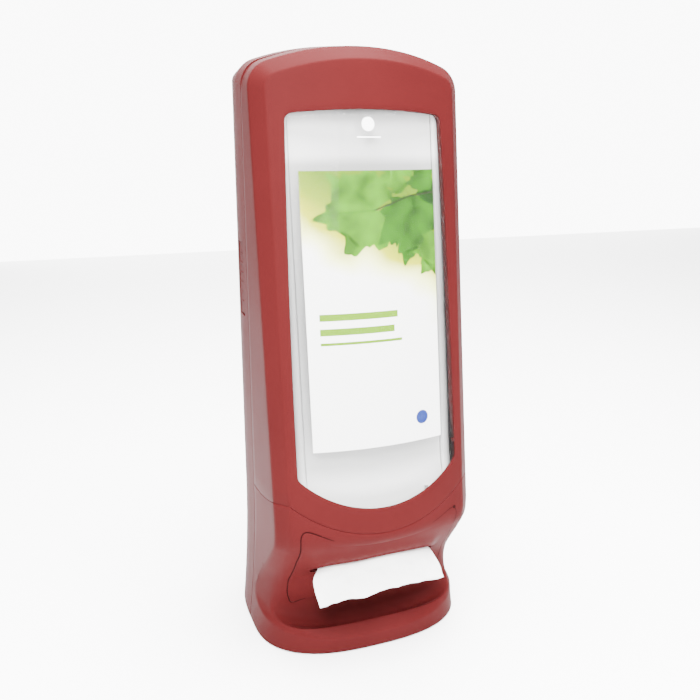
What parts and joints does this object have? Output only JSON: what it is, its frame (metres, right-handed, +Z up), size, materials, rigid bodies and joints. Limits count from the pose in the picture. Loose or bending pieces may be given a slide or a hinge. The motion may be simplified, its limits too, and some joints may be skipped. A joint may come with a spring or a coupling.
{
  "type": "napkin dispenser",
  "caption": "Tall counter-top napkin dispenser: tower with a bowed window cover over a display card, a napkin mouth and a tray base.",
  "frame": {"origin": "on the floor under the rubber feet, at the middle of the overall box", "axes": "+X across the width to the object's right as a user sees it, -Y towards the user, +Z up"},
  "size_m": [0.2348, 0.2289, 0.616],
  "materials": {
    "red_shell": "satin, fine texture",
    "clear_window": "clear gloss",
    "printed_card": "satin print",
    "grey_panel": "matte translucent",
    "napkin_paper": "soft creped paper",
    "black_plastic": "satin",
    "plated_steel": "zinc plated",
    "spring_steel": "bright wire",
    "cast_weight": "painted dark grey",
    "lock_chrome": "polished",
    "foot_rubber": "matte",
    "base_steel": "powder coat"
  },
  "bodies": {
    "housing": {"lower_housing": "red_shell", "mouth_plate": "red_shell", "rear_housing": "red_shell", "magazine_channel": "grey_panel", "magazine_floor": "grey_panel", "magazine_bracket_lower": "plated_steel", "magazine_bracket_upper": "plated_steel", "hook_rail_left": "plated_steel", "hook_rail_right": "plated_steel", "latch_bracket_left": "plated_steel", "latch_bracket_right": "plated_steel", "latch_spring_left": "spring_steel", "latch_spring_right": "spring_steel", "lock_barrel": "lock_chrome", "base_plate": "base_steel", "rubber_feet": "foot_rubber", "base_screws": "plated_steel", "base_nuts": "plated_steel", "joint_plates": "plated_steel", "joint_screws": "plated_steel", "napkin_tongue": "napkin_paper", "napkin_pack_1": "napkin_paper", "napkin_pack_2": "napkin_paper", "napkin_pack_3": "napkin_paper", "napkin_pack_4": "napkin_paper", "napkin_pack_5": "napkin_paper"},
    "cover": {"front_cover": "red_shell", "window_lens": "clear_window", "ad_card": "printed_card", "backing_panel": "grey_panel", "panel_screws": "plated_steel", "lens_clips": "black_plastic", "cover_hooks": "plated_steel", "cover_catches": "plated_steel", "lock_strike": "plated_steel"},
    "follower": {"follower_plate": "grey_panel", "follower_weight": "cast_weight"},
    "latch_left": {"release_button_left": "red_shell", "latch_hook_left": "plated_steel"},
    "latch_right": {"release_button_right": "red_shell", "latch_hook_right": "plated_steel"},
    "lock": {"lock_core": "lock_chrome", "lock_cam": "plated_steel"}
  },
  "joints": [
    {"name": "cover_lift", "type": "slide", "parent": "housing", "child": "cover", "axis": [0, 0, 1], "range_m": [0, 0.028]},
    {"name": "follower_slide", "type": "slide", "parent": "housing", "child": "follower", "axis": [0, 0.133, 0.9911], "range_m": [0, 0.04]},
    {"name": "button_left", "type": "slide", "parent": "housing", "child": "latch_left", "axis": [1, 0, 0], "range_m": [0, 0.004], "stiffness_N_per_m": 500, "springref_m": -0.001, "deforming": ["latch_spring_left"]},
    {"name": "button_right", "type": "slide", "parent": "housing", "child": "latch_right", "axis": [-1, 0, 0], "range_m": [0, 0.004], "stiffness_N_per_m": 500, "springref_m": -0.001, "deforming": ["latch_spring_right"]},
    {"name": "lock_turn", "type": "hinge", "parent": "housing", "child": "lock", "pos_m": [0.083, -0.09, 0.149], "axis": [0, -1, 0], "range_deg": [0, 90]}
  ]
}
